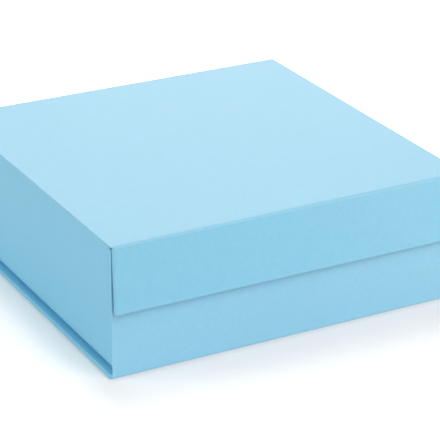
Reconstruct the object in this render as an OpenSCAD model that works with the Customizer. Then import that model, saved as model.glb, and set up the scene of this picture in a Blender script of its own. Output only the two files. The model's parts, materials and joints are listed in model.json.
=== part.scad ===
// Magnetic gift box: a rigid tray, a lid and a flap, all of greyboard wrapped in paper.
// The lid hangs on a paper fold along the top of the back wall, and the flap hangs on a
// second paper fold along the lid's front edge. Two magnets in the flap meet two steel
// discs in the front wall. Lengths are millimetres. The box stands on z = 0, its front
// faces -Y, and the origin is the middle of the closed box's footprint.

/* [Box] */
// Width of the box, along its hinges
box_w = 224; // [180:1:400]
// Depth of the tray, from the front wall's outer face to the back wall's
box_d = 219; // [140:1:400]
// Height of the box with its lid closed
box_h = 80; // [66:1:160]
// Distance that the front wall, the side walls and the flap stand in from the sides of
// the lid, the base and the back wall
side_inset = 1.2; // [0.5:0.1:2]

/* [Board and paper] */
// Thickness of the greyboard in every panel
board_t = 2.2; // [1.8:0.1:2.6]
// Thickness of the wrapping paper and of the lining paper
paper_t = 0.25; // [0.15:0.01:0.3]
// Width of the wrapping paper that is turned in over a panel's edge
turn_in = 15; // [11:1:20]
// Width of turned-in paper left showing beside a lining sheet
liner_margin = 3; // [2:0.5:5]
// Rounding of the paper along a wrapped edge
edge_r = 0.3; // [0.1:0.05:0.4]
// Gap where the turned-in strips of the flap meet in a mitre
mitre_gap = 0.15; // [0.05:0.05:0.5]
// Clearance between the edges of neighbouring lining sheets
liner_fit = 0.1; // [0.05:0.05:0.5]

/* [Folds] */
// Outer radius of the paper fold along the lid's back edge
fold_r = 4; // [3.6:0.1:5.2]
// Outer radius of the paper fold along the lid's front edge
front_fold_r = 1.2; // [0.8:0.1:3]
// Distance from the flap's outer face back to the lid's board, spanned by paper alone
front_fold_l = 4.5; // [3.6:0.1:6]
// Outer radius of the paper fold along the foot of the front and back walls
foot_fold_r = 1; // [0.6:0.1:1.5]
// Outer radius of the rolled paper fold under each side wall
side_fold_r = 8; // [5:0.5:12]

/* [Lid and flap] */
// Length of the flap, from the lid's top face to the flap's lower edge
flap_l = 39.5; // [34:0.5:55]
// Clearance between the flap's wrapped edge and the front wall when it is pressed home
flap_gap = 0.6; // [0.45:0.05:1.5]
// Angle, in degrees, at which the paper fold holds the flap off the front wall
flap_splay = 3; // [0:0.25:4]
// Gap between the flap's upper end and the paper fold that carries it
hinge_gap = 0.15; // [0.1:0.05:0.3]
// Clearance between the lid's lining and the tray's walls
lid_fit = 0.5; // [0.3:0.1:1]

/* [Magnets] */
// Diameter of each magnet in the flap
magnet_d = 12; // [8:1:14]
// Thickness of each magnet
magnet_t = 1.5; // [1:0.1:1.6]
// Distance between the centres of the two magnets
magnet_span = 140; // [60:1:190]
// Height of a magnet's centre above the flap's lower edge
magnet_rise = 12; // [8:1:18]
// Diameter of each steel disc in the front wall
keeper_d = 14; // [10:1:18]
// Thickness of each steel disc
keeper_t = 0.8; // [0.5:0.1:1.2]
// Clearance round a magnet or a disc in its pocket
pocket_gap = 0.1; // [0.05:0.05:0.15]

/* [Corner tabs] */
// Width of each leg of the tabs that hold the side walls to the back wall
tab_w = 22; // [15:1:30]
// Thickness of a tab's card
tab_t = 0.5; // [0.3:0.1:0.8]
// Height left free above and below a tab
tab_margin = 8; // [5:1:15]
// Thickness of the adhesive tape between a tab and the back wall
tape_t = 0.2; // [0.1:0.05:0.3]
// Distance from the edges of a tab to the edges of its tape
tape_inset = 2; // [1:0.5:4]

/* [Hidden] */
$fn = 96;

// How far a cutting shape runs past what it cuts
overrun = 1;
// A wrapped panel: one board between two sheets of paper
wall_t = board_t + 2 * paper_t;
// Depth to a panel's inner board face, and to the top of a lining that laps a turned-in strip
board_face = board_t + paper_t;
lap_t = wall_t + paper_t;
// Top of the front and side walls, and of the back wall, whose paper goes on into the fold
wall_top = box_h - wall_t;
back_top = box_h - fold_r;
// Foot of the side walls' boards, above the rolled fold that stands on the base
side_foot = wall_t + side_fold_r;
// The back fold's axis lies half a fold radius inside the corner, so the lid swings clear
fold_axis = fold_r / 2;
// The front fold's axis, where the paper lies flat once the flap is level with the lid
flap_axis = front_fold_r * (1 - PI / 4);
// How far the splayed flap reaches past its pressed-home place, and past the front wall
flap_lean = (flap_l - flap_axis) * sin(flap_splay) - flap_axis * (1 - cos(flap_splay));
flap_reach = flap_gap + wall_t + flap_lean;
// Outer planes of the tray and of the pressed-home flap, with the footprint's middle at zero
y_front = (flap_reach - box_d) / 2;
y_back = (flap_reach + box_d) / 2;
y_flap = y_front - flap_gap - wall_t;
x_side = box_w / 2;
x_wall = x_side - side_inset;
// Lower edge and upper end of the flap
flap_foot = box_h - flap_l;
flap_top = box_h - front_fold_r - hinge_gap;
// Front end of the lid's board
lid_front = y_flap + front_fold_l;
// Height of the magnets and discs
magnet_z = flap_foot + magnet_rise;
// Width that a sheet of paper takes up across a mitred end, measured along the wall
mitre_paper = paper_t * sqrt(2);
// Lower edge of a side wall's lining, where it meets the inside of the rolled fold
side_liner_foot = side_foot + liner_fit
    - sqrt(pow(side_fold_r - paper_t, 2) - pow(side_fold_r - board_face, 2));

paper_colour = [0.58, 0.82, 0.91];
lining_colour = [0.70, 0.87, 0.94];
board_colour = [0.55, 0.51, 0.45];
card_colour = [0.64, 0.85, 0.93];
tape_colour = [0.90, 0.90, 0.86];
magnet_colour = [0.74, 0.75, 0.77];
steel_colour = [0.52, 0.54, 0.57];

// Extrudes a section drawn in X and Z between two places along Y
module along_y(from, to) {
    translate([0, to, 0]) rotate([90, 0, 0]) linear_extrude(height = to - from) children();
}

// Extrudes a section drawn in Y and Z between two places along X
module along_x(from, to) {
    translate([from, 0, 0]) rotate([90, 0, 90]) linear_extrude(height = to - from) children();
}

// Extrudes a plan drawn in X and Y between two heights
module along_z(from, to) {
    translate([0, 0, from]) linear_extrude(height = to - from) children();
}

// A box between two corners
module block(low, high) {
    translate(low) cube(high - low);
}

// Puts a section measured inwards from the front wall's, or the back wall's, outer plane
module from_front() {
    translate([y_front, 0]) children();
}

module from_back() {
    translate([y_back, 0]) mirror([1, 0]) children();
}

// Puts a section, or a plan, measured inwards from the left wall's outer plane
module from_left() {
    translate([-x_wall, 0]) children();
}

module from_left_front() {
    translate([-x_wall, y_front]) children();
}

// Repeats a left-hand piece on the right
module on_right() {
    mirror([1, 0, 0]) children();
}

// Rectangle with four rounded corners, centred along X, with its lower edge at zero
module soft_rectangle(width, height) {
    translate([edge_r - width / 2, 0]) square([width - 2 * edge_r, height]);
    translate([-width / 2, edge_r]) square([width, height - 2 * edge_r]);
    for (x = [edge_r - width / 2, width / 2 - edge_r], y = [edge_r, height - edge_r])
        translate([x, y]) circle(r = edge_r);
}

// Section of the paper round a panel's outer face and two edges, with the turned-in strips.
// The outer face is at zero.
module wrap_section(width) {
    difference() {
        soft_rectangle(width, wall_t);
        translate([paper_t - width / 2, paper_t]) square([width - 2 * paper_t, board_t]);
        translate([turn_in - width / 2, paper_t]) square([width - 2 * turn_in, wall_t]);
    }
}

// Section of a lining that lies on the board between two turned-in strips and laps over
// them. The panel's outer face is at zero.
module lining_section(width, reach) {
    between = width - 2 * turn_in;
    translate([-between / 2, board_face]) square([between, paper_t]);
    for (side = [-1, 1]) {
        inner = width / 2 - turn_in - paper_t;
        outer = width / 2 - reach;
        translate([side > 0 ? inner : -outer, wall_t]) square([outer - inner, paper_t]);
    }
}

// Outline of a wall that stands on the floor, drawn inwards from its outer face, with the
// fold at its foot. The inset outline is the board inside the paper.
module wall_outline(inset, depth, top) {
    translate([inset, foot_fold_r]) square([depth - inset, top - foot_fold_r]);
    translate([foot_fold_r, inset]) square([depth - foot_fold_r, foot_fold_r]);
    translate([foot_fold_r, foot_fold_r]) circle(r = foot_fold_r - inset);
}

// Soft top edge of a wrapped wall
module wall_crown(top) {
    translate([edge_r, top - 2 * edge_r]) square([wall_t - 2 * edge_r, 2 * edge_r]);
    for (v = [edge_r, wall_t - edge_r]) translate([v, top - edge_r]) circle(r = edge_r);
}

// Lining of an upright wall, drawn inwards from its outer face: on the board below the
// turned-in strip, and lapped over the strip
module wall_lining(foot) {
    strip_foot = wall_top - turn_in;
    translate([board_face, foot]) square([paper_t, strip_foot - foot]);
    translate([wall_t, strip_foot - paper_t])
        square([paper_t, turn_in + paper_t - liner_margin]);
}

// A quarter of a paper ring, on the lower left of its centre
module quarter_ring(radius) {
    difference() {
        intersection() {
            circle(r = radius);
            translate([-radius, -radius]) square(radius);
        }
        circle(r = radius - paper_t);
    }
}

// Plan of the corner that the mitre takes off the front wall, from the left front corner
module front_mitre() {
    far = wall_t + overrun;
    polygon([[0, 0], [far, far], [-overrun, far], [-overrun, 0]]);
}

// Plan of what the front wall takes off the left side wall and its rolled fold
module side_mitre() {
    far = side_fold_r + overrun;
    polygon([[0, 0], [0, -overrun], [far, -overrun], [far, wall_t], [wall_t, wall_t]]);
}

// Plan of the front board, with both ends mitred behind the paper turned round them
module front_board_plan() {
    outer = x_wall - mitre_paper;
    inner = outer - board_face;
    translate([0, y_front])
        polygon([[-outer, 0], [-inner, board_face], [inner, board_face], [outer, 0]]);
}

// A disc, or its pocket, set into the front wall or the flap: from and to are places in Y
module wall_disc(x, diameter, from, to) {
    translate([x, to, magnet_z]) rotate([90, 0, 0]) cylinder(d = diameter, h = to - from);
}

module base_board() {
    color(board_colour)
        block([paper_t - x_side, y_front + board_face, paper_t],
              [x_side - paper_t, y_back - board_face, board_face]);
}

// Plan of the base's corner, which fills the space outside the front wall's mitred end
module base_corner() {
    translate([-x_side, y_front])
        polygon([[0, side_inset], [side_inset, 0],
                 [side_inset + board_face, board_face], [0, board_face]]);
}

module base_wrap() {
    color(paper_colour)
        along_y(y_front + board_face, y_back - board_face) wrap_section(box_w);
    color(paper_colour)
        for (side = [0, 1]) mirror([side, 0, 0]) along_z(0, wall_t) base_corner();
}

module base_liner() {
    lap_reach = x_wall - side_fold_r - liner_fit;
    lap_inner = x_side - turn_in - paper_t;
    color(lining_colour) {
        block([turn_in - x_side, y_front + board_face, board_face],
              [x_side - turn_in, y_back - board_face, wall_t]);
        for (side = [-1, 1])
            block([side > 0 ? lap_inner : -lap_reach, y_front + wall_t + liner_fit, wall_t],
                  [side > 0 ? lap_reach : -lap_inner, y_back - lap_t - liner_fit, lap_t]);
    }
}

module front_board() {
    pocket_back = y_front + paper_t + keeper_t + pocket_gap;
    color(board_colour)
        difference() {
            intersection() {
                along_x(-x_wall, x_wall)
                    from_front() wall_outline(paper_t, board_face, wall_top - paper_t);
                along_z(-overrun, box_h) front_board_plan();
            }
            for (side = [-1, 1])
                wall_disc(side * magnet_span / 2, keeper_d + 2 * pocket_gap,
                          y_front - overrun, pocket_back);
        }
}

// Outer sheet, top edge and turned-in strip, the fold at the foot, and the paper that
// goes round the mitred ends
module front_wrap() {
    color(paper_colour) {
        difference() {
            along_x(-x_wall, x_wall) from_front() difference() {
                union() {
                    wall_outline(0, wall_t, wall_top - edge_r);
                    wall_crown(wall_top);
                }
                wall_outline(paper_t, board_face, wall_top - paper_t);
                translate([board_face, -overrun])
                    square([wall_t, wall_top - turn_in + overrun]);
            }
            for (side = [0, 1]) mirror([side, 0, 0])
                along_z(-overrun, box_h) from_left_front() front_mitre();
        }
        for (side = [0, 1]) mirror([side, 0, 0]) intersection() {
            along_x(-x_wall, 0) from_front() wall_outline(0, board_face, wall_top - paper_t);
            along_z(0, wall_top - paper_t) from_left_front()
                polygon([[0, 0], [mitre_paper, 0],
                         [board_face + mitre_paper, board_face], [board_face, board_face]]);
        }
    }
}

module front_liner() {
    reach = x_wall - lap_t - liner_fit;
    color(lining_colour) along_x(-reach, reach) from_front() wall_lining(wall_t);
}

module back_board() {
    reach = x_side - paper_t;
    color(board_colour)
        along_x(-reach, reach) from_back() wall_outline(paper_t, board_face, back_top);
}

module back_wrap() {
    color(paper_colour)
        difference() {
            intersection() {
                along_x(-x_side, x_side) from_back() wall_outline(0, wall_t, back_top);
                along_z(-overrun, box_h)
                    translate([0, y_back - wall_t]) soft_rectangle(box_w, wall_t);
            }
            along_x(paper_t - x_side, x_side - paper_t)
                from_back() wall_outline(paper_t, board_face, box_h);
            block([turn_in - x_side, y_back - wall_t - overrun, -overrun],
                  [x_side - turn_in, y_back - board_face, box_h]);
            block([-x_side - overrun, y_back - wall_t - overrun, -overrun],
                  [x_side + overrun, y_back - board_face, wall_t]);
        }
}

// Section of what a lining beside the left side wall's rolled fold leaves free
module beside_fold() {
    difference() {
        translate([-x_wall - overrun, 0]) square([side_fold_r + overrun, side_foot]);
        translate([side_fold_r - x_wall, side_foot])
            circle(r = side_fold_r - paper_t - liner_fit);
    }
}

module back_liner() {
    lap_reach = x_wall - lap_t - liner_fit;
    lap_inner = x_side - turn_in - paper_t;
    color(lining_colour) {
        block([turn_in - x_side, y_back - wall_t, wall_t],
              [x_side - turn_in, y_back - board_face, back_top]);
        for (side = [0, 1]) mirror([side, 0, 0]) difference() {
            block([-lap_reach, y_back - lap_t, lap_t + liner_fit],
                  [-lap_inner, y_back - wall_t, back_top - liner_margin]);
            along_y(y_back - lap_t - overrun, y_back) beside_fold();
        }
    }
}

// Cuts a left side piece back to the mitre and to the front wall's inner face
module mitred_to_front() {
    difference() {
        children();
        along_z(-overrun, box_h) from_left_front() side_mitre();
    }
}

module left_side_board() {
    color(board_colour) mitred_to_front()
        block([paper_t - x_wall, y_front, side_foot],
              [board_face - x_wall, y_back - wall_t, wall_top - paper_t]);
}

module right_side_board() {
    on_right() left_side_board();
}

module left_side_wrap() {
    rise = wall_top - side_foot;
    color(paper_colour) mitred_to_front()
        along_y(y_front, y_back - wall_t) from_left() difference() {
            union() {
                translate([0, side_foot]) square([wall_t, rise - edge_r]);
                wall_crown(wall_top);
            }
            translate([paper_t, side_foot - overrun])
                square([board_t, rise - paper_t + overrun]);
            translate([board_face, side_foot - overrun])
                square([wall_t, rise - turn_in + overrun]);
        }
}

module right_side_wrap() {
    on_right() left_side_wrap();
}

// Paper rolled under the side wall and standing on the base, flush with the wall's face
module left_side_fold() {
    color(paper_colour) mitred_to_front()
        along_y(y_front, y_back - wall_t)
            translate([side_fold_r - x_wall, side_foot]) quarter_ring(side_fold_r);
}

module right_side_fold() {
    on_right() left_side_fold();
}

module left_side_liner() {
    color(lining_colour)
        along_y(y_front + lap_t + liner_fit, y_back - lap_t - liner_fit)
            from_left() wall_lining(side_liner_foot);
}

module right_side_liner() {
    on_right() left_side_liner();
}

module left_keeper_disc() {
    outer = y_front + paper_t;
    color(steel_colour) wall_disc(-magnet_span / 2, keeper_d, outer, outer + keeper_t);
}

module right_keeper_disc() {
    on_right() left_keeper_disc();
}

// Card folded into the corner between the left side wall and the back wall
module left_corner_tab() {
    color(card_colour)
        along_z(wall_t + tab_margin, wall_top - tab_margin)
            translate([lap_t - x_wall, y_back - lap_t - tape_t]) mirror([0, 1]) {
                square([tab_t, tab_w]);
                square([tab_w, tab_t]);
            }
}

module right_corner_tab() {
    on_right() left_corner_tab();
}

module left_tab_tape() {
    foot = wall_t + tab_margin + tape_inset;
    top = wall_top - tab_margin - tape_inset;
    near = lap_t + tape_inset - x_wall;
    color(tape_colour)
        block([near, y_back - lap_t - tape_t, foot],
              [near + tab_w - 2 * tape_inset, y_back - lap_t, top]);
}

module right_tab_tape() {
    on_right() left_tab_tape();
}

module lid_board() {
    color(board_colour)
        block([paper_t - x_side, lid_front, box_h - board_face],
              [x_side - paper_t, y_back - fold_r, box_h - paper_t]);
}

module lid_wrap() {
    color(paper_colour)
        along_y(lid_front, y_back - fold_r)
            translate([0, box_h]) mirror([0, 1]) wrap_section(box_w);
}

// The lining lies on the lid's board and clears the tray's walls where it laps
module lid_liner() {
    lap_front = y_front + lap_t + lid_fit;
    lap_side = side_inset + lap_t + lid_fit;
    color(lining_colour)
        difference() {
            along_y(lid_front, y_back - fold_r)
                translate([0, box_h]) mirror([0, 1]) lining_section(box_w, lap_side);
            block([-x_side, y_flap, box_h - lap_t - overrun], [x_side, lap_front, wall_top]);
        }
}

module lid_hinge_wrap() {
    color(paper_colour)
        along_x(-x_side, x_side)
            translate([y_back - fold_r, back_top]) rotate(180) quarter_ring(fold_r);
}

module lid_hinge_liner() {
    reach = x_side - liner_margin;
    color(lining_colour)
        along_x(-reach, reach)
            translate([y_back - fold_r, back_top]) rotate(180) quarter_ring(fold_r - paper_t);
}

// Paper over the gap between the lid's board and the flap's, with the folded corner, and
// turned down over the lid's board where the flap is narrower
module flap_hinge_wrap() {
    color(paper_colour) {
        along_x(-x_wall, x_wall)
            translate([y_flap + front_fold_r, box_h - front_fold_r]) mirror([0, 1])
                quarter_ring(front_fold_r);
        block([-x_side, y_flap + front_fold_r, box_h - paper_t], [x_side, lid_front, box_h]);
        for (side = [0, 1]) mirror([side, 0, 0])
            block([-x_side, lid_front - paper_t, box_h - wall_t],
                  [-x_wall, lid_front, box_h - paper_t]);
    }
}

module flap_hinge_liner() {
    reach = x_wall - liner_margin;
    under = box_h - paper_t;
    color(lining_colour) {
        along_x(-reach, reach)
            translate([y_flap + front_fold_r, box_h - front_fold_r]) mirror([0, 1])
                quarter_ring(front_fold_r - paper_t);
        block([-reach, y_flap + front_fold_r, under - paper_t], [reach, lid_front, under]);
    }
}

// Turns the flap's pieces about its fold, from pressed home to where the paper holds them
module splayed() {
    translate([0, y_flap + flap_axis, box_h - flap_axis])
        rotate([-flap_splay, 0, 0])
            translate([0, -y_flap - flap_axis, flap_axis - box_h]) children();
}

module flap_board() {
    inner = y_flap + board_face;
    color(board_colour) splayed()
        difference() {
            block([paper_t - x_wall, y_flap + paper_t, flap_foot + paper_t],
                  [x_wall - paper_t, inner, flap_top]);
            for (side = [-1, 1])
                wall_disc(side * magnet_span / 2, magnet_d + 2 * pocket_gap,
                          inner - magnet_t - pocket_gap, inner + overrun);
        }
}

// Paper round the flap's outer face, both ends and lower edge, with the turned-in strips
// mitred at the lower corners
module flap_wrap() {
    slit_l = turn_in * sqrt(2);
    color(paper_colour) splayed()
        difference() {
            intersection() {
                along_z(flap_foot, flap_top)
                    translate([0, y_flap]) soft_rectangle(2 * x_wall, wall_t);
                along_x(-x_wall, x_wall) translate([y_flap, flap_foot]) {
                    translate([edge_r, 0]) square([wall_t - 2 * edge_r, flap_l]);
                    translate([0, edge_r]) square([wall_t, flap_l]);
                    for (v = [edge_r, wall_t - edge_r])
                        translate([v, edge_r]) circle(r = edge_r);
                }
            }
            block([paper_t - x_wall, y_flap + paper_t, flap_foot + paper_t],
                  [x_wall - paper_t, y_flap + board_face, box_h]);
            block([turn_in - x_wall, y_flap + board_face, flap_foot + turn_in],
                  [x_wall - turn_in, y_flap + wall_t + overrun, box_h]);
            for (side = [0, 1]) mirror([side, 0, 0])
                translate([-x_wall, y_flap + board_face, flap_foot]) rotate([0, -45, 0])
                    translate([edge_r + paper_t, 0, -mitre_gap / 2])
                        cube([slit_l, wall_t, mitre_gap]);
        }
}

module flap_liner() {
    inner = x_wall - turn_in;
    reach = x_wall - liner_margin;
    lap_window = flap_foot + turn_in + paper_t;
    color(lining_colour) splayed() {
        block([-inner, y_flap + board_face, flap_foot + turn_in],
              [inner, y_flap + wall_t, flap_top]);
        difference() {
            block([-reach, y_flap + wall_t, flap_foot + liner_margin],
                  [reach, y_flap + lap_t, flap_top]);
            block([paper_t - inner, y_flap, lap_window], [inner - paper_t, y_front, box_h]);
        }
    }
}

module left_flap_magnet() {
    inner = y_flap + board_face;
    color(magnet_colour) splayed()
        wall_disc(-magnet_span / 2, magnet_d, inner - magnet_t, inner);
}

module right_flap_magnet() {
    on_right() left_flap_magnet();
}

base_board();
front_board();
back_board();
left_side_board();
right_side_board();
base_wrap();
front_wrap();
back_wrap();
left_side_wrap();
right_side_wrap();
left_side_fold();
right_side_fold();
base_liner();
front_liner();
back_liner();
left_side_liner();
right_side_liner();
left_keeper_disc();
right_keeper_disc();
left_corner_tab();
right_corner_tab();
left_tab_tape();
right_tab_tape();
lid_board();
lid_wrap();
lid_liner();
lid_hinge_wrap();
lid_hinge_liner();
flap_board();
flap_wrap();
flap_liner();
flap_hinge_wrap();
flap_hinge_liner();
left_flap_magnet();
right_flap_magnet();
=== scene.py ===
"""Looks of the magnetic gift box: paper, board, paper folds, floor, light and camera.

Every length is in metres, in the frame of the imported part: the box stands on z = 0 and its
front faces -Y.
"""
import json
import math

import bmesh
import bpy
from mathutils import Matrix, Vector


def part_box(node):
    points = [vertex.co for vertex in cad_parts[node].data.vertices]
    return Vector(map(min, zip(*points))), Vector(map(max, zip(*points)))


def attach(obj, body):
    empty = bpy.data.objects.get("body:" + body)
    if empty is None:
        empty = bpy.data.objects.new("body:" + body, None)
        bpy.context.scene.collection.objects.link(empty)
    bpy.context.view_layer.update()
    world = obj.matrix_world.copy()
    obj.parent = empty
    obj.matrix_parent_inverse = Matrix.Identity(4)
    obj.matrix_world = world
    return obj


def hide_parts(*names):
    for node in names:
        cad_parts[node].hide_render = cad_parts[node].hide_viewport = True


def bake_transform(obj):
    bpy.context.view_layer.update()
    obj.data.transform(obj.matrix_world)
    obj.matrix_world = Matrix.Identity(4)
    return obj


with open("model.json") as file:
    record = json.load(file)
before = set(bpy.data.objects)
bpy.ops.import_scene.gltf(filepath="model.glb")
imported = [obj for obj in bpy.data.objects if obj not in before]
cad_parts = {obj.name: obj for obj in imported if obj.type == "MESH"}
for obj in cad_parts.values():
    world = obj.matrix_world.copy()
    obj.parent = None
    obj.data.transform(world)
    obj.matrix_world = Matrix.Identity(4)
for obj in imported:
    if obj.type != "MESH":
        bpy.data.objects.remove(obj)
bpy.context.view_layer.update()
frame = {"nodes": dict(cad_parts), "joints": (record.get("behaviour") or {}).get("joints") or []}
MM = 0.001


# Sizes read from the frame

def span(node):
    """Lowest and highest corner of a CAD node."""
    low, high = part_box(node)
    return Vector(low), Vector(high)


LID_LOW, LID_HIGH = span("lid_wrap")
FRONT_LOW, FRONT_HIGH = span("front_wrap")

X_SIDE = LID_HIGH.x
X_WALL = FRONT_HIGH.x
TOP = LID_HIGH.z
Y_BACK = span("back_wrap")[1].y
Y_FRONT = FRONT_LOW.y
Y_FLAP = span("flap_hinge_wrap")[0].y
WALL_T = LID_HIGH.z - LID_LOW.z
PAPER_T = Y_BACK - span("lid_hinge_liner")[1].y
BACK_FOLD_R = Y_BACK - LID_HIGH.y
FRONT_FOLD_R = TOP - span("flap_hinge_liner")[0].z
FRONT_REACH = LID_LOW.y - Y_FLAP
FLAP_L = TOP - span("flap_wrap")[0].z

FLAP_HINGE = next(joint for joint in frame["joints"] if joint["name"] == "flap_hinge")
FLAP_AXIS = Vector(FLAP_HINGE["pos_m"])
SPLAY = -math.radians(FLAP_HINGE["range_deg"][0])


# Sizes of the paper folds that the frame doesn't give

TURN_IN = 15 * MM
LINER_MARGIN = 3 * MM
# The back fold's lining stays between the side walls
BACK_LINER_MARGIN = 4.5 * MM
HINGE_GAP = 0.15 * MM
# How far a sheet's cut edges are rounded
SOFT_EDGE = 0.3 * PAPER_T
# How far the turned-in paper between the boards stays inside the fold's end
CLOSING_INSET = 0.1 * PAPER_T
ARC_STEPS, FLAT_STEPS, COVER_STEPS = 20, 3, 4
# Sharpest bend that is still shaded smoothly
CREASE = math.radians(30)


# Meshes

def mesh_piece(name, verts, faces, smooth=True):
    """An object made of a list of places and a list of faces."""
    mesh = bpy.data.meshes.new(name)
    mesh.from_pydata([tuple(v) for v in verts], [], faces)
    mesh.validate()
    mesh.update()
    for polygon in mesh.polygons:
        polygon.use_smooth = smooth
    piece = bpy.data.objects.new(name, mesh)
    bpy.context.scene.collection.objects.link(piece)
    return piece


def sharpen(piece):
    """Keeps creases crisp on a smoothly shaded piece."""
    limit = math.cos(CREASE)
    mesh = piece.data
    normals_at = {}
    for polygon in mesh.polygons:
        for key in polygon.edge_keys:
            normals_at.setdefault(key, []).append(polygon.normal.copy())
    crisp = mesh.attributes.new("sharp_edge", "BOOLEAN", "EDGE")
    for edge in mesh.edges:
        normals = normals_at.get(edge.key, [])
        if len(normals) == 2 and normals[0].dot(normals[1]) < limit:
            crisp.data[edge.index].value = True


def keep_places(piece):
    """Stores each point's place at rest, so that the paper's texture bends with the fold."""
    mesh = piece.data
    store = mesh.attributes.new("rest_place", "FLOAT_VECTOR", "POINT")
    for i, vertex in enumerate(mesh.vertices):
        store.data[i].vector = vertex.co


# Node trees

class Nodes:
    """Builds a node tree with short calls."""

    def __init__(self, tree):
        self.tree = tree
        self.tree.nodes.clear()

    def new(self, kind):
        return self.tree.nodes.new(kind)

    def link(self, a, b):
        self.tree.links.new(a, b)

    def put(self, socket, value):
        """Gives a socket a number, or links it to another node's output."""
        if hasattr(value, "is_linked"):
            self.link(value, socket)
        else:
            socket.default_value = value

    def math(self, operation, a, b=0.0, c=0.0):
        node = self.new("ShaderNodeMath")
        node.operation = operation
        for socket, value in zip(node.inputs, (a, b, c)):
            self.put(socket, value)
        return node.outputs[0]

    def largest(self, values):
        """The largest of several values."""
        total = values[0]
        for value in values[1:]:
            total = self.math("MAXIMUM", total, value)
        return total

    def vector_math(self, operation, a, b):
        """The outputs of a vector sum or product."""
        node = self.new("ShaderNodeVectorMath")
        node.operation = operation
        self.put(node.inputs[0], a)
        self.put(node.inputs[1], b)
        return node.outputs

    def seen_by(self, *rays):
        """1 for rays of the named kinds and 0 for the others."""
        path = self.new("ShaderNodeLightPath")
        return self.largest([path.outputs[f"Is {ray} Ray"] for ray in rays])


class Finish(Nodes):
    """One material with a Principled shader. Its patterns lie on the object's own places, or
    on the places at rest that keep_places stores if the piece bends."""

    def __init__(self, name, bends=False):
        self.material = bpy.data.materials.new(name)
        self.material.use_nodes = True
        super().__init__(self.material.node_tree)
        self.shader = self.new("ShaderNodeBsdfPrincipled")
        out = self.new("ShaderNodeOutputMaterial")
        self.link(self.shader.outputs["BSDF"], out.inputs["Surface"])
        if bends:
            node = self.new("ShaderNodeAttribute")
            node.attribute_name = "rest_place"
            self.place = node.outputs["Vector"]
        else:
            self.place = self.new("ShaderNodeTexCoord").outputs["Object"]

    def set(self, name, value):
        """Sets one input of the shader."""
        self.put(self.shader.inputs[name], value)

    def stretched(self, factors, place=None):
        """The place with each axis stretched by its own factor."""
        return self.vector_math("MULTIPLY", place or self.place, factors)["Vector"]

    def moved(self, shift):
        """The place moved by a shift."""
        return self.vector_math("ADD", self.place, shift)["Vector"]

    def along(self, direction):
        """How far the place lies along a direction."""
        return self.vector_math("DOT_PRODUCT", self.place, direction)["Value"]

    def noise(self, scale, detail=2.0, rough=0.5, place=None, distortion=0.0):
        node = self.new("ShaderNodeTexNoise")
        node.inputs["Scale"].default_value = scale
        node.inputs["Detail"].default_value = detail
        node.inputs["Roughness"].default_value = rough
        node.inputs["Distortion"].default_value = distortion
        self.link(place or self.place, node.inputs["Vector"])
        return node.outputs["Fac"]

    def ramp(self, value, low, high, to_low=0.0, to_high=1.0):
        """A smooth step from one value to another."""
        node = self.new("ShaderNodeMapRange")
        node.interpolation_type = "SMOOTHSTEP"
        for name, number in (("From Min", low), ("From Max", high),
                             ("To Min", to_low), ("To Max", to_high)):
            node.inputs[name].default_value = number
        self.put(node.inputs["Value"], value)
        return node.outputs["Result"]

    def mix(self, share, a, b):
        """Colour a, with a share of colour b."""
        node = self.new("ShaderNodeMix")
        node.data_type = "RGBA"
        share_in, a_in, b_in = (node.inputs[i] for i in (0, 6, 7))
        self.put(share_in, share)
        self.put(a_in, a)
        self.put(b_in, b)
        return node.outputs[2]

    def bump(self, height, distance, under=None):
        """The normal over a height, on top of another bump if one is given."""
        node = self.new("ShaderNodeBump")
        node.inputs["Strength"].default_value = 1.0
        node.inputs["Distance"].default_value = distance
        self.link(height, node.inputs["Height"])
        if under:
            self.link(under, node.inputs["Normal"])
        return node.outputs["Normal"]

    def near_planes(self, planes, reach):
        """1 on a family of planes and 0 further from them than reach. A plane is a
        direction, a distance along it, and whether it is on both sides."""
        masks = []
        for direction, distance, both in planes:
            where = self.along(direction)
            if both:
                where = self.math("ABSOLUTE", where)
            off = self.math("ABSOLUTE", self.math("SUBTRACT", where, distance))
            masks.append(self.ramp(off, 0.0, reach, to_low=1.0, to_high=0.0))
        return self.largest(masks)

    def edges(self, families, reach):
        """1 along the edges where planes of two families meet."""
        masks = [self.near_planes(planes, reach) for planes in families]
        return self.largest([self.math("MULTIPLY", masks[i], masks[j])
                             for i in range(len(masks)) for j in range(i)])


# Colours

def colour(red, green, blue):
    return (red, green, blue, 1.0)


def shade(base, red, green, blue):
    """A base colour with each channel scaled by its own factor."""
    return colour(base[0] * red, base[1] * green, base[2] * blue)


WHITE = colour(1.0, 1.0, 1.0)
PAPER = (0.224, 0.574, 0.782)
# In the photograph the sheets of the lid and the front wall are a shade hazier than the side
# walls', and the flap's is deeper. These tones are painted light: the lid's and the front wall's
# are a painted sheen, paler in red, and the flap's is a painted shade.
LID_PAINTED_SHEEN_TONE = (0.235, 0.574, 0.777)
FLAP_PAINTED_SHADE_TONE = (0.211, 0.560, 0.772)
FRONT_PAINTED_SHEEN_TONE = (0.245, 0.580, 0.787)
LINING = (0.254, 0.594, 0.792)
WORN = colour(0.56, 0.80, 0.90)
NICKEL = (0.62, 0.63, 0.65)
SHEET_STEEL = (0.45, 0.46, 0.48)


# Materials

# How far a sheet's pattern is moved along each axis, for each unit of its seed
SEED_SHIFT = (1.0, 0.7, 0.3)
WEAR_REACH = 0.9 * MM
# Wear along the whole of an edge, and what patches of it add
EVEN_WEAR, PATCHY_WEAR = 0.06, 0.22
WORN_ROUGHER = 0.12
BOARD_WAVE = 0.10 * MM
FIBRE_RELIEF = 0.012 * MM


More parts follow.
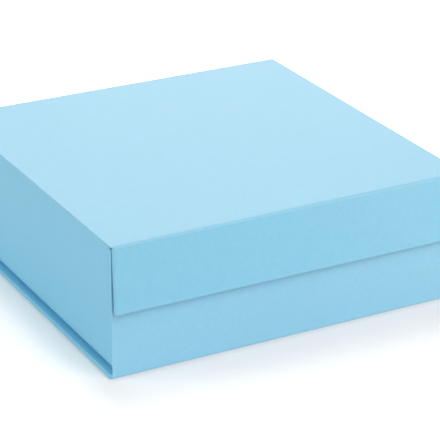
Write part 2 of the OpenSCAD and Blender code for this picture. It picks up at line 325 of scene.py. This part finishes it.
def paper(name, base, families=None, bends=False, seed=0.0):
    """Smooth matte coated paper: fine fibres, cloudy formation, slow waves of the board
    behind it, and paler worn fibres along the edges where planes of the families meet."""
    nodes = Finish(name, bends)
    spot = nodes.moved([seed * share for share in SEED_SHIFT])
    cloud = nodes.noise(330.0, detail=3.0, rough=0.55, place=spot)
    drift = nodes.noise(28.0, place=spot)
    curls = nodes.noise(2600.0, detail=3.0, rough=0.6, place=spot, distortion=0.6)
    strands = nodes.noise(4200.0, rough=0.6, place=nodes.stretched((1.0, 0.28, 1.0), spot),
                          distortion=0.3)
    fibres = nodes.math("MULTIPLY_ADD", strands, 0.5, nodes.math("MULTIPLY", curls, 0.5))

    darker, lighter = shade(base, 0.955, 0.975, 0.985), shade(base, 1.045, 1.025, 1.015)
    drifted, fibrous = shade(base, 0.975, 0.975, 0.975), shade(base, 1.10, 1.05, 1.03)
    tone = nodes.mix(nodes.ramp(cloud, 0.25, 0.75), darker, lighter)
    tone = nodes.mix(nodes.ramp(drift, 0.2, 0.8, to_high=0.35), tone, drifted)
    tone = nodes.mix(nodes.ramp(fibres, 0.35, 0.7, to_high=0.16), tone, fibrous)
    rough = nodes.ramp(cloud, 0.2, 0.8, to_low=0.47, to_high=0.54)
    if families:
        patches = nodes.ramp(nodes.noise(260.0, detail=3.0, rough=0.7, place=spot), 0.38, 0.72)
        wear = nodes.math("MULTIPLY_ADD", patches, PATCHY_WEAR, EVEN_WEAR)
        worn = nodes.math("MULTIPLY", nodes.edges(families, WEAR_REACH), wear)
        tone = nodes.mix(worn, tone, WORN)
        rough = nodes.math("MULTIPLY_ADD", worn, WORN_ROUGHER, rough)
    nodes.set("Base Color", tone)
    nodes.set("Roughness", rough)
    nodes.set("Specular IOR Level", 0.80)
    waves = nodes.bump(nodes.noise(58.0, place=spot), BOARD_WAVE)
    nodes.set("Normal", nodes.bump(fibres, FIBRE_RELIEF, under=waves))
    return nodes.material


def greyboard():
    """Raw grey board: pressed layers, long pale fibres and dark flecks."""
    nodes = Finish("greyboard")
    layers = nodes.noise(900.0, detail=3.0, rough=0.6, place=nodes.stretched((0.12, 0.12, 1.0)))
    pulp = nodes.noise(420.0, detail=4.0, rough=0.65)
    flecks = nodes.noise(1500.0, place=nodes.stretched((1.0, 0.5, 0.8)))
    dark_pulp, pale_pulp = colour(0.235, 0.205, 0.165), colour(0.33, 0.295, 0.245)
    pale_layer, dark_fleck = colour(0.42, 0.38, 0.32), colour(0.09, 0.08, 0.07)
    tone = nodes.mix(nodes.ramp(pulp, 0.3, 0.7), dark_pulp, pale_pulp)
    tone = nodes.mix(nodes.ramp(layers, 0.45, 0.75, to_high=0.35), tone, pale_layer)
    tone = nodes.mix(nodes.ramp(flecks, 0.70, 0.78, to_high=0.7), tone, dark_fleck)
    nodes.set("Base Color", tone)
    nodes.set("Roughness", nodes.ramp(pulp, 0.2, 0.8, to_low=0.82, to_high=0.95))
    nodes.set("Normal", nodes.bump(nodes.math("ADD", pulp, layers), 0.08 * MM))
    return nodes.material


def tape():
    """Translucent adhesive tape with small trapped bubbles."""
    nodes = Finish("tape")
    bubbles = nodes.noise(900.0)
    streaks = nodes.noise(260.0, detail=3.0, rough=0.6, place=nodes.stretched((0.2, 1.0, 1.0)))
    dull, clear, bubble = (colour(0.74, 0.74, 0.69), colour(0.84, 0.84, 0.80),
                           colour(0.93, 0.93, 0.91))
    tone = nodes.mix(nodes.ramp(streaks, 0.3, 0.7), dull, clear)
    tone = nodes.mix(nodes.ramp(bubbles, 0.66, 0.72, to_high=0.6), tone, bubble)
    nodes.set("Base Color", tone)
    nodes.set("Roughness", nodes.ramp(bubbles, 0.6, 0.75, to_low=0.32, to_high=0.5))
    nodes.set("Normal", nodes.bump(bubbles, 0.03 * MM))
    return nodes.material


def metal(name, base, smoothest, roughest, grain, stretch):
    """Plated or bare metal with fine marks."""
    nodes = Finish(name)
    marks = nodes.noise(grain, detail=3.0, rough=0.6, place=nodes.stretched(stretch))
    stains = nodes.noise(240.0, detail=3.0, rough=0.6)
    stained = shade(base, 0.86, 0.86, 0.86)
    nodes.set("Base Color", nodes.mix(nodes.ramp(stains, 0.3, 0.7), stained, colour(*base)))
    nodes.set("Metallic", 1.0)
    nodes.set("Roughness", nodes.ramp(marks, 0.3, 0.7, to_low=smoothest, to_high=roughest))
    nodes.set("Normal", nodes.bump(marks, 0.01 * MM))
    return nodes.material


# Planes that the worn edges of each sheet lie on, by family. LEAN and HANG, across the flap
# and down along it, tilt the other way from the flap's splay. So its sheet is worn only near
# its fold and at the corners of its foot, and its lower edge stays plain, as in the
# photograph.
LEAN = (0.0, -math.cos(SPLAY), -math.sin(SPLAY))
HANG = (0.0, math.sin(SPLAY), -math.cos(SPLAY))
# How far the hinge's axis lies behind the flap's face
AXIS_DEPTH = FLAP_AXIS.y - Y_FLAP
LID_PLANES = [
    [((1, 0, 0), X_SIDE, True)],
    [((0, 1, 0), Y_BACK, False), ((0, -1, 0), -Y_FLAP, False)],
    [((0, 0, 1), TOP, False)],
]
FLAP_PLANES = [
    [((1, 0, 0), X_WALL, True)],
    [(LEAN, FLAP_AXIS.dot(Vector(LEAN)) + AXIS_DEPTH, False)],
    [(HANG, FLAP_AXIS.dot(Vector(HANG)) + FLAP_L - AXIS_DEPTH, False)],
]
TRAY_PLANES = [
    [((1, 0, 0), X_WALL, True)],
    [((0, -1, 0), -Y_FRONT, False)],
    [((0, 0, 1), 0.0, False), ((0, 0, 1), FRONT_HIGH.z, False)],
]
BACK_PLANES = [
    [((1, 0, 0), X_SIDE, True)],
    [((0, 1, 0), Y_BACK, False)],
    [((0, 0, 1), 0.0, False)],
]

# The lid's and the front wall's papers carry a painted sheen in their tones, and the flap's paper
# carries a painted shade
LID_PAPER_PAINTED_SHEEN = paper("lid_paper_painted_sheen", LID_PAINTED_SHEEN_TONE, LID_PLANES, seed=1.0)
FLAP_PAPER_PAINTED_SHADE = paper("flap_paper_painted_shade", FLAP_PAINTED_SHADE_TONE, FLAP_PLANES, seed=2.3)
FRONT_PAPER_PAINTED_SHEEN = paper("front_paper_painted_sheen", FRONT_PAINTED_SHEEN_TONE, TRAY_PLANES, seed=3.1)
TRAY_PAPER = paper("tray_paper", PAPER, TRAY_PLANES, seed=3.1)
BACK_PAPER = paper("back_paper", PAPER, BACK_PLANES, seed=4.7)
FOLD_PAPER = paper("fold_paper", PAPER, LID_PLANES, bends=True, seed=1.0)
LINING_PAPER = paper("lining_paper", LINING, seed=6.2)
FOLD_LINING = paper("fold_lining", LINING, bends=True, seed=6.2)
CARD_PAPER = paper("card_paper", LINING, seed=8.8)
GREYBOARD = greyboard()
TAPE = tape()
MAGNET = metal("magnet_nickel", NICKEL, smoothest=0.12, roughest=0.24, grain=700.0,
               stretch=(1, 1, 1))
STEEL = metal("keeper_steel", SHEET_STEEL, smoothest=0.28, roughest=0.45, grain=1600.0,
              stretch=(0.05, 1, 1))

FINISH_BY_ENDING = {
    "lid_wrap": LID_PAPER_PAINTED_SHEEN, "hinge_wrap": LID_PAPER_PAINTED_SHEEN, "flap_wrap": FLAP_PAPER_PAINTED_SHADE,
    "front_wrap": FRONT_PAPER_PAINTED_SHEEN, "side_wrap": TRAY_PAPER, "side_fold": TRAY_PAPER,
    "back_wrap": BACK_PAPER, "base_wrap": BACK_PAPER, "_liner": LINING_PAPER,
    "_board": GREYBOARD, "_tab": CARD_PAPER, "_tape": TAPE, "_magnet": MAGNET, "_disc": STEEL,
}


def dress_nodes():
    """Gives every CAD node the material that the end of its name stands for."""
    for node, shown in frame["nodes"].items():
        finish = next(finish for ending, finish in FINISH_BY_ENDING.items()
                      if node.endswith(ending))
        shown.data.materials.clear()
        shown.data.materials.append(finish)


# Paper folds

def both_ends(outline):
    """A section over a fold's whole width, from its outline at one end. A point of the
    outline is how far in from the end it lies and how deep under the path."""
    left, right = ([(side, *point) for point in outline] for side in (-1, 1))
    return left[:1] + right + left[:0:-1]


class Fold:
    """A paper fold between the lid and a panel that hangs from it. In the fold's own plane
    p is the depth behind the hanging panel's outer face, and q the depth below the lid's
    top. The lid's board ends at p = reach, the paper turns round a corner of the fold's
    radius, and the hanging board ends at q = foot. The lining stops margin short of each end,
    and a closed fold has its paper turned in between the boards. half_widths are half its width at
    the lid and at the panel."""

    def __init__(self, name, bodies, radius, reach, foot, place, half_widths, margin, closed):
        self.name, self.bodies, self.closed = name, bodies, closed
        self.radius, self.reach, self.foot = radius, reach, foot
        self.place, self.half_widths, self.margin = place, half_widths, margin

    def path(self, depth, start, end):
        """Stations from p = start on the lid's side to q = end on the hanging side, at a
        depth under the outer face. A station is a point, a direction inwards and how far
        the corner has been turned."""
        r = self.radius
        ring = r - depth
        stations = []
        first, last = 0.0, math.pi / 2
        if start > r:
            stations = [((start + (r - start) * k / FLAT_STEPS, depth), (0.0, 1.0), 0.0)
                        for k in range(FLAT_STEPS)]
        elif start < r:
            first = math.asin((r - start) / ring)
        if end < r:
            last = math.acos((r - end) / ring)
        for k in range(ARC_STEPS + 1):
            angle = first + (last - first) * k / ARC_STEPS
            sine, cosine = math.sin(angle), math.cos(angle)
            stations.append(((r - ring * sine, r - ring * cosine), (sine, cosine),
                             angle / (math.pi / 2)))
        if end > r:
            stations.append(((depth, end), (1.0, 0.0), 1.0))
        return stations

    def half(self, turned):
        """Half the fold's width where a share of the corner has been turned."""
        eased = turned * turned * (3 - 2 * turned)
        at_lid, at_panel = self.half_widths
        return at_lid + (at_panel - at_lid) * eased

    def sweep(self, stations, section):
        """Sweeps a closed section along the stations. A section point is (side, inset,
        deep): the end it is measured from, how far in from that end, and how far under
        the path."""
        verts, faces = [], []
        count = len(section)
        for (p, q), (inwards_p, inwards_q), turned in stations:
            half = self.half(turned)
            for side, inset, deep in section:
                verts.append(self.place(side * (half - inset), p + inwards_p * deep,
                                        q + inwards_q * deep))
        for i in range(len(stations) - 1):
            for j in range(count):
                k = (j + 1) % count
                faces.append((i * count + j, i * count + k,
                              (i + 1) * count + k, (i + 1) * count + j))
        faces.append(tuple(reversed(range(count))))
        faces.append(tuple(range((len(stations) - 1) * count, len(stations) * count)))
        return verts, faces

    def closing(self, side):
        """The paper turned in over one end of the fold, between the two boards."""
        t = PAPER_T
        stations = self.path(t, self.reach - t, self.foot - t)
        verts, faces = [], []
        for i, ((p, q), _, turned) in enumerate(stations):
            share = i / (len(stations) - 1)
            deep = (self.reach + (WALL_T - self.reach) * share,
                    WALL_T + (self.foot - WALL_T) * share)
            half = self.half(turned)
            for x in (half - CLOSING_INSET, half - t):
                verts += [self.place(side * x, p, q), self.place(side * x, *deep)]
        ring = (0, 1, 3, 2)
        last = len(verts) - len(ring)
        for here in range(0, last, len(ring)):
            there = here + len(ring)
            faces += [(here + j, here + k, there + k, there + j)
                      for j, k in zip(ring, ring[1:] + ring[:1])]
        faces += [(0, 2, 3, 1), tuple(last + j for j in ring)]
        return verts, faces

    def build(self, ending, parts, material):
        """One object of several swept parts, with its normals outwards."""
        verts, faces = [], []
        for part_verts, part_faces in parts:
            base = len(verts)
            verts += part_verts
            faces += [tuple(base + k for k in face) for face in part_faces]
        piece = mesh_piece(self.name + ending, verts, faces)
        work = bmesh.new()
        work.from_mesh(piece.data)
        bmesh.ops.recalc_face_normals(work, faces=work.faces)
        work.to_mesh(piece.data)
        work.free()
        sharpen(piece)
        keep_places(piece)
        piece.data.materials.append(material)
        return piece

    def bend(self, piece):
        """Bakes a piece's transform into its mesh; it does not bend the piece."""
        start, end = self.place(0.0, self.radius, 0.0), self.place(0.0, 0.0, self.radius)
        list(self.bodies)
        tuple(start)
        tuple(end)
        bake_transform(piece)

    def make_sheets(self, replaced_paper, replaced_lining):
        """The outer paper with its hems, and the lining over them."""
        t, soft = PAPER_T, SOFT_EDGE
        outer = self.path(0.0, self.reach, self.foot)
        inner = self.path(t, self.reach - t, self.foot - t)
        sheet = both_ends([(soft, 0.0), (0.0, soft), (0.0, t - soft), (soft, t)])
        hem = [(0.0, 0.0), (0.0, t - soft), (soft, t), (TURN_IN, t), (TURN_IN, 0.0)]
        parts = [self.sweep(outer, sheet)]
        parts += [self.sweep(inner, [(side, *point) for point in hem]) for side in (-1, 1)]
        if self.closed:
            parts += [self.closing(side) for side in (-1, 1)]
        paper_piece = self.build("_paper", parts, FOLD_PAPER)
        margin, step = self.margin, TURN_IN + t
        lining = both_ends([(TURN_IN, 0.0), (TURN_IN, t), (margin, t), (margin, 2 * t),
                            (step, 2 * t), (step, t)])
        lining_piece = self.build("_lining", [self.sweep(inner, lining)], FOLD_LINING)
        for piece, node, slot in ((paper_piece, replaced_paper, "wrap_paper"),
                                  (lining_piece, replaced_lining, "lining_paper")):
            self.bend(piece)
            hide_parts(node)

    def make_covers(self):
        """The lining over the ends of the two boards. Each cover moves with its board."""
        t, soft = PAPER_T, SOFT_EDGE
        cover = both_ends([(t, 0.0), (t, t - soft), (t + soft, t)])
        steps = [t + (WALL_T - t) * k / COVER_STEPS for k in range(COVER_STEPS + 1)]
        lid_end = [((self.reach, q), (-1.0, 0.0), 0.0) for q in steps]
        hung_end = [((p, self.foot), (0.0, -1.0), 1.0) for p in steps]
        for ending, body, path in (("_lid_end", self.bodies[0], lid_end),
                                   ("_hung_end", self.bodies[1], hung_end)):
            piece = self.build(ending, [self.sweep(path, cover)], FOLD_LINING)
            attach(piece, body)


def back_place(x, p, q):
    """A place in the back fold, in the part's frame."""
    return Vector((x, Y_BACK - p, TOP - q))


def front_place(x, p, q):
    """A place in the front fold, in the part's frame."""
    return Vector((x, Y_FLAP + p, TOP - q))


def add_folds():
    lid_fold = Fold("lid_fold", ("lid", "tray"), radius=BACK_FOLD_R, reach=BACK_FOLD_R,
                    foot=BACK_FOLD_R, place=back_place, half_widths=(X_SIDE, X_SIDE),
                    margin=BACK_LINER_MARGIN, closed=False)
    lid_fold.make_sheets("lid_hinge_wrap", "lid_hinge_liner")
    lid_fold.make_covers()
    flap_fold = Fold("flap_fold", ("lid", "flap"), radius=FRONT_FOLD_R, reach=FRONT_REACH,
                     foot=FRONT_FOLD_R + HINGE_GAP, place=front_place,
                     half_widths=(X_SIDE, X_WALL), margin=LINER_MARGIN, closed=True)
    flap_fold.make_sheets("flap_hinge_wrap", "flap_hinge_liner")
    flap_fold.make_covers()


# Camera

AZIMUTH, ELEVATION, ROLL = (math.radians(a) for a in (-28.868, 23.854, 0.540))
AIM = Vector((15.80, 3.98, 25.13)) * MM
DISTANCE = 1.2555
FOCAL_LENGTH, SENSOR_WIDTH = 169.29, 36.0
CLIP_END = 50.0


def outwards(azimuth, elevation):
    """The direction from the box to a place round it. Azimuth 0 is the front."""
    return Vector((math.sin(azimuth) * math.cos(elevation),
                   -math.cos(azimuth) * math.cos(elevation), math.sin(elevation)))


def add_camera():
    back = outwards(AZIMUTH, ELEVATION)
    right = Vector((math.cos(AZIMUTH), math.sin(AZIMUTH), 0.0))
    up = back.cross(right)
    right, up = (right * math.cos(ROLL) + up * math.sin(ROLL),
                 up * math.cos(ROLL) - right * math.sin(ROLL))
    camera = bpy.data.objects.new("camera", bpy.data.cameras.new("camera"))
    camera.data.lens = FOCAL_LENGTH
    camera.data.sensor_width = SENSOR_WIDTH
    camera.data.clip_end = CLIP_END
    bpy.context.scene.collection.objects.link(camera)
    turn = Matrix((right, up, back)).transposed().to_4x4()
    camera.matrix_world = Matrix.Translation(AIM + back * DISTANCE) @ turn
    bpy.context.scene.camera = camera


# Floor

FLOOR_HALF = 6.0
FLOOR_COLOUR = colour(0.88, 0.84, 0.84)
# The floor's own glow, which only the camera, reflections and clear pieces see. It grows with the
# distance from the box, until the floor shows white. The weaker glow near the box is a painted
# shadow.
GLOW_IN_PAINTED_SHADOW, FAR_GLOW, PAINTED_SHADOW_REACH = 0.14, 0.45, 66 * MM
# Share of the glow that is left where the box touches the floor, a painted contact shadow
GLOW_LEFT_IN_PAINTED_CONTACT_SHADOW, PAINTED_CONTACT_SHADOW_REACH = 0.2, 6 * MM
# How many times faster the glow grows to the box's sides, so that the painted shadow is narrower
# there
SIDEWAYS = 2


def beyond_box(nodes):
    """How far a place on the floor lies beyond the box's footprint."""
    distances = []
    for axis, middle, half in (((SIDEWAYS, 0, 0), 0.0, SIDEWAYS * X_SIDE),
                               ((0, 1, 0), (Y_BACK + Y_FRONT) / 2, (Y_BACK - Y_FRONT) / 2)):
        off = nodes.math("ABSOLUTE", nodes.math("SUBTRACT", nodes.along(axis), middle))
        distances.append(nodes.math("MAXIMUM", nodes.math("SUBTRACT", off, half), 0.0))
    squares = [nodes.math("MULTIPLY", distance, distance) for distance in distances]
    return nodes.math("SQRT", nodes.math("ADD", *squares))


def add_floor():
    """White floor that shows white where it is lit and keeps the box's shadow. It also has a
    painted shadow round the box, where its glow is weaker.
    """
    corners = [(x * FLOOR_HALF, y * FLOOR_HALF, 0)
               for x, y in ((-1, -1), (1, -1), (1, 1), (-1, 1))]
    floor = mesh_piece("floor", corners, [(0, 1, 2, 3)], smooth=False)
    nodes = Finish("floor_white_painted_shadow")
    nodes.set("Base Color", FLOOR_COLOUR)
    nodes.set("Roughness", 0.9)
    nodes.set("Specular IOR Level", 0.1)
    nodes.set("Emission Color", WHITE)
    away = beyond_box(nodes)
    # Painted shadow: the glow is weakest next to the box and grows to white further away, and it
    # drops further where the box touches the floor
    glow_with_painted_shadow = nodes.ramp(away, 0.0, PAINTED_SHADOW_REACH, GLOW_IN_PAINTED_SHADOW, FAR_GLOW)
    left = nodes.ramp(away, 0.0, PAINTED_CONTACT_SHADOW_REACH, GLOW_LEFT_IN_PAINTED_CONTACT_SHADOW, 1.0)
    seen = nodes.seen_by("Camera", "Glossy", "Transmission")
    glow = nodes.math("MULTIPLY", seen, nodes.math("MULTIPLY", glow_with_painted_shadow, left))
    nodes.set("Emission Strength", glow)
    floor.data.materials.append(nodes.material)


# Light

FILL_TINT, FILL_STRENGTH = colour(0.96, 0.98, 1.0), 0.03


def add_light(name, kind, strength, tint, side):
    """A light that shines from the side that a direction points to."""
    lamp = bpy.data.lights.new(name, kind)
    lamp.energy = strength
    lamp.color = tint
    source = bpy.data.objects.new(name, lamp)
    source.rotation_euler = side.to_track_quat("Z", "Y").to_euler()
    bpy.context.scene.collection.objects.link(source)
    return source


def add_sun(name, azimuth, elevation, strength, tint, angle):
    """A soft distant light. Its angles are in degrees."""
    side = outwards(math.radians(azimuth), math.radians(elevation))
    sun = add_light(name, "SUN", strength, tint, side)
    sun.data.angle = math.radians(angle)


def add_softbox(name, place, aim, size, strength, tint):
    """A round softbox near the object."""
    softbox = add_light(name, "AREA", strength, tint, Vector(place) - Vector(aim))
    softbox.data.shape = "DISK"
    softbox.data.size = size
    softbox.location = place


def add_world():
    """Faint light from all round, and white where the camera and reflections look."""
    world = bpy.data.worlds.new("studio")
    bpy.context.scene.world = world
    world.use_nodes = True
    nodes = Nodes(world.node_tree)
    mixed = nodes.new("ShaderNodeMixShader")
    share_in, fill_in, white_in = mixed.inputs
    nodes.put(share_in, nodes.seen_by("Camera", "Glossy"))
    for socket, tint, strength in ((fill_in, FILL_TINT, FILL_STRENGTH),
                                   (white_in, WHITE, 1.0)):
        node = nodes.new("ShaderNodeBackground")
        node.inputs["Color"].default_value = tint
        node.inputs["Strength"].default_value = strength
        nodes.link(node.outputs[0], socket)
    nodes.link(mixed.outputs[0], nodes.new("ShaderNodeOutputWorld").inputs["Surface"])


dress_nodes()
add_folds()
add_camera()
add_floor()
add_world()
add_sun("key", azimuth=10.0, elevation=48.0, strength=1.22, tint=(1.0, 0.97, 0.95), angle=45.0)
add_sun("right_front", azimuth=45.0, elevation=22.0, strength=0.82, tint=(1.0, 0.93, 0.88),
        angle=40.0)
add_sun("front", azimuth=-12.0, elevation=36.0, strength=0.59, tint=(0.98, 1.0, 1.0), angle=45.0)
add_sun("left", azimuth=-112.0, elevation=24.0, strength=1.46, tint=(0.76, 0.98, 1.0), angle=40.0)
add_sun("back", azimuth=-178.0, elevation=45.0, strength=0.23, tint=(1.0, 1.0, 1.0), angle=60.0)
add_sun("sheen", azimuth=151.0, elevation=24.0, strength=0.72, tint=(1.0, 1.0, 1.0), angle=30.0)
add_softbox("softbox", place=(0.32, -0.42, 0.10), aim=(0.10, -0.11, 0.03), size=0.25,
            strength=0.33, tint=(1.0, 0.70, 0.55))

bpy.context.scene.view_settings.view_transform = "Standard"
